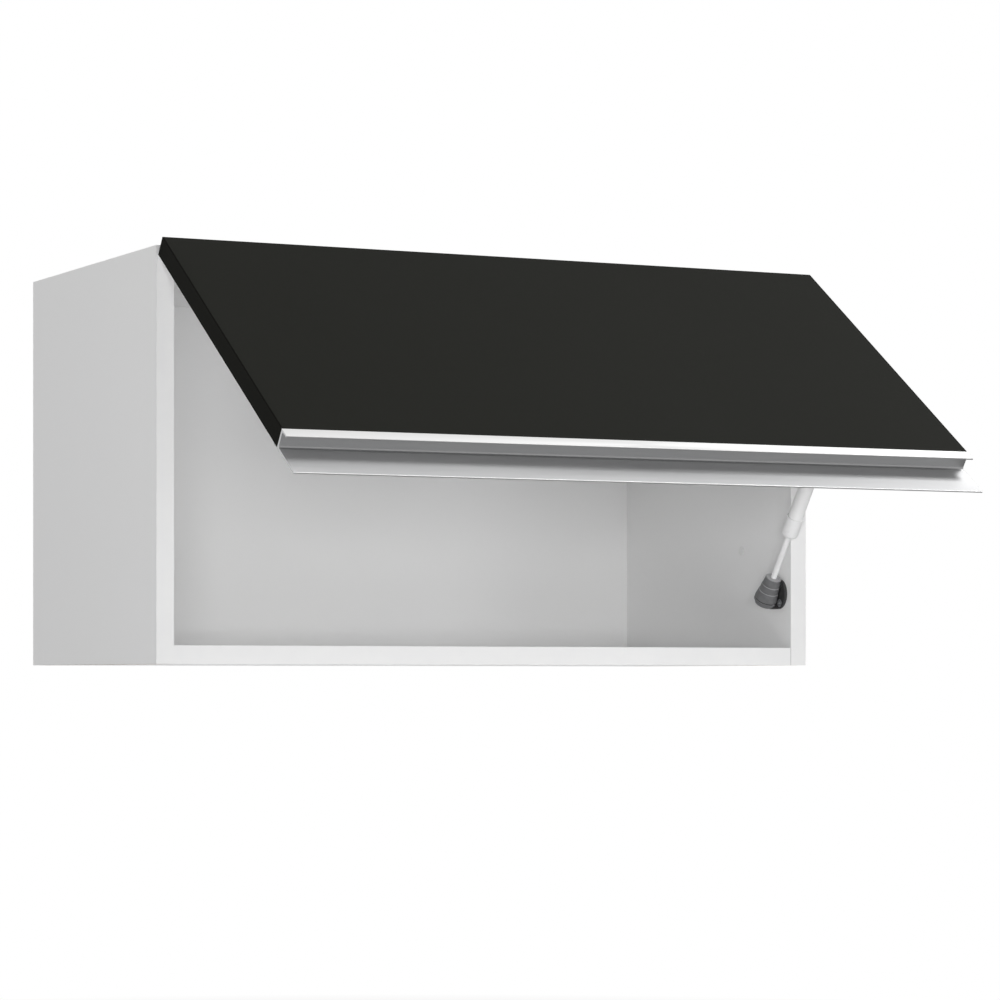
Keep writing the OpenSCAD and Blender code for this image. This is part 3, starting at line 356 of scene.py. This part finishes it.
def dark_plastic():
    """Dark glass-filled nylon: fibre specks and flow marks, and a painted highlight on ledges that face
    up the rod.
    """
    mat, t, s, place = material("glass_filled_nylon", (0.135, 0.137, 0.140), 0.45)
    speck = t.noise(t.scaled(place, 1.0, 1.0, 2.5), 1500.0, 3.0, 0.7)
    flow = t.noise(place, 200.0, 3.0)
    grey = t.tint(flow, (0.120, 0.121, 0.124), (0.150, 0.152, 0.156))
    grey = t.mix(t.between(speck, 0.58, 0.75, 0.0, 0.35), grey, (0.22, 0.22, 0.225))
    # Paler colour on ledges that face up the rod: a painted highlight
    ledge_highlight = t.along(object_normal(t), UP_THE_ROD)
    skin(t, s, t.tint(ledge_highlight, grey, (0.42, 0.42, 0.43), (0.55, 0.85)),
         t.spread(speck, 0.36, 0.50))
    bump(t, s, speck, 0.15, 0.0002, 0.0004)
    return mat


def seal_rubber():
    """Black nitrile lip seal, slightly oily."""
    mat, t, s, place = material("nitrile_rubber", (0.018, 0.018, 0.018), 0.40)
    surface = t.noise(place, 900.0, 3.0, 0.6)
    skin(t, s, t.tint(surface, (0.014, 0.014, 0.014), (0.024, 0.024, 0.023)),
         t.spread(surface, 0.32, 0.50))
    bump(t, s, surface, 0.1, 0.0002)
    return mat


def clear_pad():
    """Soft clear polyurethane bumper with a faint haze."""
    mat, t, s, place = material("clear_polyurethane", (0.80, 0.83, 0.83), 0.22, 0.0,
                                {"IOR": 1.49, "Transmission Weight": 0.55})
    haze = t.noise(place, 500.0, 3.0)
    skin(t, s, t.tint(haze, (0.76, 0.79, 0.79), (0.84, 0.86, 0.86)),
         t.spread(haze, 0.16, 0.30))
    bump(t, s, haze, 0.05, 0.0002, 0.0010)
    return mat


def black_steel():
    """Phosphated steel: nearly black, with fine crystals in its skin."""
    mat, t, s, place = material("phosphated_steel", (0.075, 0.076, 0.078), 0.50, 0.6)
    haze = t.noise(place, 300.0, 3.0)
    skin(t, s, t.tint(haze, (0.060, 0.061, 0.063), (0.090, 0.091, 0.093)),
         t.spread(haze, 0.44, 0.58))
    bump(t, s, t.cells(place, 2600.0), 0.10, 0.0001)
    return mat


def rod_chrome():
    """Ground rod with a light satin chrome: hair-fine grinding rings."""
    mat, t, s, place = material("satin_chrome", (0.93, 0.932, 0.936), 0.34, 0.25)
    rings = t.noise(t.scaled(place, 40.0, 40.0, 3000.0), 1.0, 2.0)
    skin(t, s, t.tint(rings, (0.91, 0.912, 0.916), (0.95, 0.952, 0.955)),
         t.spread(rings, 0.28, 0.40))
    bump(t, s, rings, 0.03, 0.0001)
    return mat


def tube_paint():
    """White powder coat on the pressure tube, with a light orange-peel."""
    mat, t, s, place = material("white_powder_coat", (0.82, 0.82, 0.82), 0.34)
    peel = t.noise(place, 700.0, 2.0)
    tone = t.noise(place, 60.0, 2.0)
    skin(t, s, t.tint(tone, (0.805, 0.805, 0.807), (0.832, 0.832, 0.830)),
         t.spread(peel, 0.28, 0.38))
    bump(t, s, peel, 0.12, 0.0003, 0.0004)
    return mat


def sleeve_white():
    """Moulded white sleeve, a touch greyer and glossier than the tube."""
    mat, t, s, place = material("white_sleeve", (0.78, 0.78, 0.785), 0.30)
    flow = t.noise(place, 130.0, 3.0)
    skin(t, s, t.tint(flow, (0.765, 0.765, 0.772), (0.795, 0.795, 0.797)),
         t.spread(flow, 0.25, 0.36))
    bump(t, s, t.noise(place, 1200.0, 2.0), 0.06, 0.0002, 0.0006)
    return mat


# Material slot of the record, and the function that makes its material
MAKERS = {
    "white_board": white_board, "white_back": white_back, "white_edge": white_edge,
    "beech": beech, "steel": steel, "zinc": zinc, "white_plastic": white_plastic,
    "black_board": black_board, "black_edge": black_edge, "aluminium": aluminium,
    "clear_pad": clear_pad, "rod_chrome": rod_chrome, "tube_paint": tube_paint,
    "sleeve_white": sleeve_white, "dark_plastic": dark_plastic, "seal_rubber": seal_rubber,
    "black_steel": black_steel,
}
# Pieces of black steel, which have another slot in the record
BLACK_STEEL_NODES = ("lower_socket_clip", "upper_socket_clip", "strut_base_plate")


def dress_nodes():
    """Give every piece of the CAD the material of its slot."""
    made = {slot: make() for slot, make in MAKERS.items()}
    slot_of = {part["node"]: part["material_slot"] for part in frame["record"]["subparts"]}
    slot_of.update({name: "black_steel" for name in BLACK_STEEL_NODES})
    for name, obj in nodes.items():
        for place in obj.material_slots:
            place.material = made[slot_of[name]]


# ------------------------------------------------------------------ floor, world and lights

FLOOR_DROP = 0.50
FLOOR_Z = -CARCASS_HALF_Z - FLOOR_DROP
FLOOR_HALF = 60.0
# Distances over which the floor fades into the white background
SEEN_FADE = (1.1, 2.3)
MIRRORED_FADE = (1.7, 2.9)

WHITE = (1.0, 1.0, 1.0, 1.0)
WORLD_GLOW = 0.02           # strength of the world's light on matt surfaces

# Name, place, point it faces, width, height, power in watts, and whether metal mirrors it.
# The two bounce lamps face up and stand in for light that pale surfaces below throw back.
LAMPS = (
    ("key", (3.7, -0.8, 4.6), (0.0, -0.3, 0.0), 1.6, 1.6, 120.0, True),
    ("left", (-3.2, 0.3, 0.4), (0.0, 0.0, 0.0), 2.0, 2.0, 35.0, False),
    ("low left", (-1.3, -3.3, -0.12), (0.0, -0.2, 0.0), 1.0, 0.5, 39.0, False),
    ("low right", (1.6, -3.0, -0.05), (0.0, -0.2, 0.0), 1.0, 0.5, 4.5, False),
    ("front", (0.7, -2.0, -0.18), (0.6, 0.0, -0.18), 1.2, 0.95, 5.0, False),
    ("floor bounce", (-0.2, -1.35, -0.63), (-0.2, -1.35, 0.0), 2.4, 1.1, 13.0, False),
    ("under bounce", (0.0, -0.165, -0.205), (0.0, -0.165, 0.0), 0.6, 0.33, 0.42, False),
)


def seen_directly(t, path):
    """1 for rays from the camera, off mirror-like surfaces or through clear ones, 0 for others."""
    return t.math("MAXIMUM", path.outputs["Is Camera Ray"],
                  t.math("MAXIMUM", path.outputs["Is Glossy Ray"], path.outputs["Is Transmission Ray"]))


def floor_material():
    """Pale matt floor that turns into the white background with distance, clear from below."""
    mat = bpy.data.materials.new("pale_floor")
    mat.use_nodes = True
    t = Tree(mat.node_tree)
    out = t.add("ShaderNodeOutputMaterial")
    place = t.add("ShaderNodeTexCoord").outputs["Object"]
    path = t.add("ShaderNodeLightPath")
    by_camera = path.outputs["Is Camera Ray"]
    tone = t.noise(place, 3.0, 4.0)
    seen = t.tint(tone, (0.93, 0.93, 0.93), (0.97, 0.97, 0.97))
    lit = t.tint(tone, (0.36, 0.36, 0.36), (0.40, 0.40, 0.40))
    matt = t.add("ShaderNodeBsdfDiffuse", None, Color=t.mix(by_camera, lit, seen))
    white = t.add("ShaderNodeEmission", None, Color=WHITE, Strength=1.0)
    flat = t.add("ShaderNodeVectorMath", {"operation": "MULTIPLY"}, i0=place, i1=(1.0, 1.0, 0.0))
    away = t.add("ShaderNodeVectorMath", {"operation": "LENGTH"}, i0=flat).outputs["Value"]
    fade = t.mix(by_camera, t.between(away, *MIRRORED_FADE), t.between(away, *SEEN_FADE))
    faded = t.math("MULTIPLY", seen_directly(t, path), fade)
    above = t.add("ShaderNodeMixShader", None, i0=faded, i1=matt, i2=white)
    clear = t.add("ShaderNodeBsdfTransparent")
    below = t.add("ShaderNodeNewGeometry").outputs["Backfacing"]
    t.put(out.inputs[0], t.add("ShaderNodeMixShader", None, i0=below, i1=above, i2=clear))
    return mat


def floor():
    """One wide face below the cabinet, which hangs on a wall."""
    mesh = bpy.data.meshes.new("floor")
    corners = [(x * FLOOR_HALF, y * FLOOR_HALF, FLOOR_Z) for x, y in ((-1, -1), (1, -1), (1, 1), (-1, 1))]
    mesh.from_pydata(corners, [], [(0, 1, 2, 3)])
    mesh.materials.append(floor_material())
    obj = bpy.data.objects.new("floor", mesh)
    bpy.context.scene.collection.objects.link(obj)


def world():
    """A world that looks white and hardly lights anything."""
    studio = bpy.data.worlds.new("studio")
    bpy.context.scene.world = studio
    studio.use_nodes = True
    t = Tree(studio.node_tree)
    out = t.add("ShaderNodeOutputWorld")
    path = t.add("ShaderNodeLightPath")
    glow = t.add("ShaderNodeBackground", None, Color=WHITE, Strength=WORLD_GLOW)
    white = t.add("ShaderNodeBackground", None, Color=WHITE, Strength=1.0)
    t.put(out.inputs[0], t.add("ShaderNodeMixShader", None, i0=seen_directly(t, path), i1=glow, i2=white))


def lamp(name, place, aim, width, height, power, mirrored):
    """A rectangular lamp that the camera doesn't see."""
    data = bpy.data.lights.new(name, "AREA")
    data.shape = "RECTANGLE"
    data.size = width
    data.size_y = height
    data.energy = power
    obj = bpy.data.objects.new(name, data)
    bpy.context.scene.collection.objects.link(obj)
    obj.location = place
    obj.rotation_mode = "QUATERNION"
    obj.rotation_quaternion = (Vector(aim) - Vector(place)).to_track_quat("-Z", "Y")
    obj.visible_camera = False
    obj.visible_glossy = mirrored


# ------------------------------------------------------------------ camera

CAMERA_PLACE = (-1.3147, -2.9520, -0.17741)
CAMERA_TURN = 0.46146       # radians to the right of straight ahead
CAMERA_LENS = 128.458       # millimetres, as is the sensor's width
CAMERA_SENSOR = 36.0
CAMERA_SHIFT_Y = 0.17843
CAMERA_CLIP = (0.1, 200.0)


def camera():
    """The photograph's camera, by the perspective fit: level, with its frame shifted up."""
    data = bpy.data.cameras.new("camera")
    data.sensor_fit = "HORIZONTAL"
    data.sensor_width = CAMERA_SENSOR
    data.lens = CAMERA_LENS
    data.shift_y = CAMERA_SHIFT_Y
    data.clip_start, data.clip_end = CAMERA_CLIP
    obj = bpy.data.objects.new("camera", data)
    bpy.context.scene.collection.objects.link(obj)
    obj.location = CAMERA_PLACE
    obj.rotation_euler = (math.pi / 2, 0.0, -CAMERA_TURN)
    bpy.context.scene.camera = obj


# ------------------------------------------------------------------ the scene

dress_nodes()
floor()
world()
for row in LAMPS:
    lamp(*row)
camera()
bpy.context.scene.view_settings.view_transform = "Standard"
